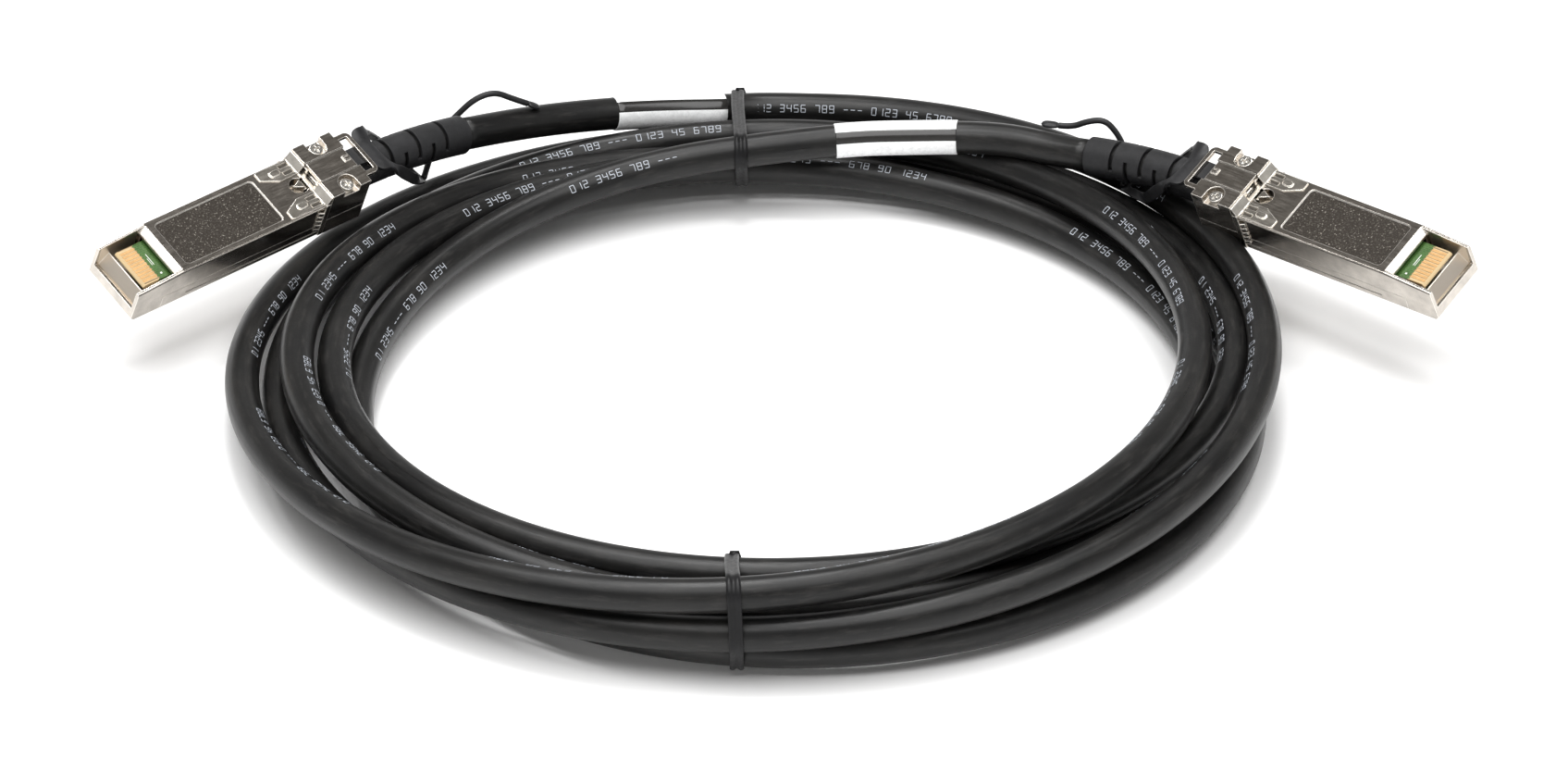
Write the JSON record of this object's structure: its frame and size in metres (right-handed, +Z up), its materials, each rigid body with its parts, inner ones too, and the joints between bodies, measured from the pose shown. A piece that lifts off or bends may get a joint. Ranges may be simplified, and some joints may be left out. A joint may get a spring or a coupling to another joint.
{
  "type": "direct attach copper cable",
  "caption": "Coiled black twinaxial copper cable with a metal pluggable module, slotted boot and pull tab at each end.",
  "frame": {"origin": "centre of the whole part's footprint, on the surface it lies on", "axes": "+Z up, +X towards the right plug, +Y towards the back of the coil where the leads leave"},
  "size_m": [0.2655, 0.2025, 0.03],
  "materials": {
    "jacket": "black matt jacket",
    "sleeve": "white marker sleeve",
    "tie": "black moulded tie",
    "nickel": "bright nickel plating",
    "spring": "plated spring sheet",
    "steel": "plated steel",
    "board": "green solder mask",
    "gold": "gold plated fingers",
    "rubber": "black moulded rubber",
    "ferrule": "crimped ring"
  },
  "bodies": {
    "cable": {"cable_coil": "jacket", "tie_back": "tie", "tie_front": "tie", "lead_left": "jacket", "lead_right": "jacket", "label_sleeve_left": "sleeve", "label_sleeve_right": "sleeve", "cover_shell_left": "nickel", "cover_shell_right": "nickel", "base_shell_left": "nickel", "base_shell_right": "nickel", "emi_collar_left": "spring", "emi_collar_right": "spring", "rocker_pin_left": "steel", "rocker_pin_right": "steel", "shell_screws_left": "steel", "shell_screws_right": "steel", "circuit_board_left": "board", "circuit_board_right": "board", "edge_contacts_left": "gold", "edge_contacts_right": "gold", "crimp_ferrule_left": "ferrule", "crimp_ferrule_right": "ferrule", "cable_boot_left": "rubber", "cable_boot_right": "rubber"},
    "slider_left": {"latch_slider_left": "nickel", "pull_tab_left": "rubber"},
    "rocker_left": {"latch_rocker_left": "steel"},
    "slider_right": {"latch_slider_right": "nickel", "pull_tab_right": "rubber"},
    "rocker_right": {"latch_rocker_right": "steel"}
  },
  "joints": [
    {"name": "latch_slide_left", "type": "slide", "parent": "cable", "child": "slider_left", "axis": [0.7301, 0.6832, 0.0105], "range_m": [0, 0.002]},
    {"name": "latch_rock_left", "type": "hinge", "parent": "cable", "child": "rocker_left", "pos_m": [-0.09101, 0.04313, 0.02311], "axis": [0.6278, -0.6647, -0.4051], "range_deg": [0, 5.7]},
    {"name": "latch_slide_right", "type": "slide", "parent": "cable", "child": "slider_right", "axis": [-0.7459, 0.6646, -0.0436], "range_m": [0, 0.002]},
    {"name": "latch_rock_right", "type": "hinge", "parent": "cable", "child": "rocker_right", "pos_m": [0.09027, 0.03622, 0.02451], "axis": [0.6031, 0.7018, 0.3791], "range_deg": [0, 5.7]}
  ],
  "couplings": [
    {"joint": "latch_rock_left", "follows": "latch_slide_left", "rad_per_m": 49.742},
    {"joint": "latch_rock_right", "follows": "latch_slide_right", "rad_per_m": 49.742}
  ]
}
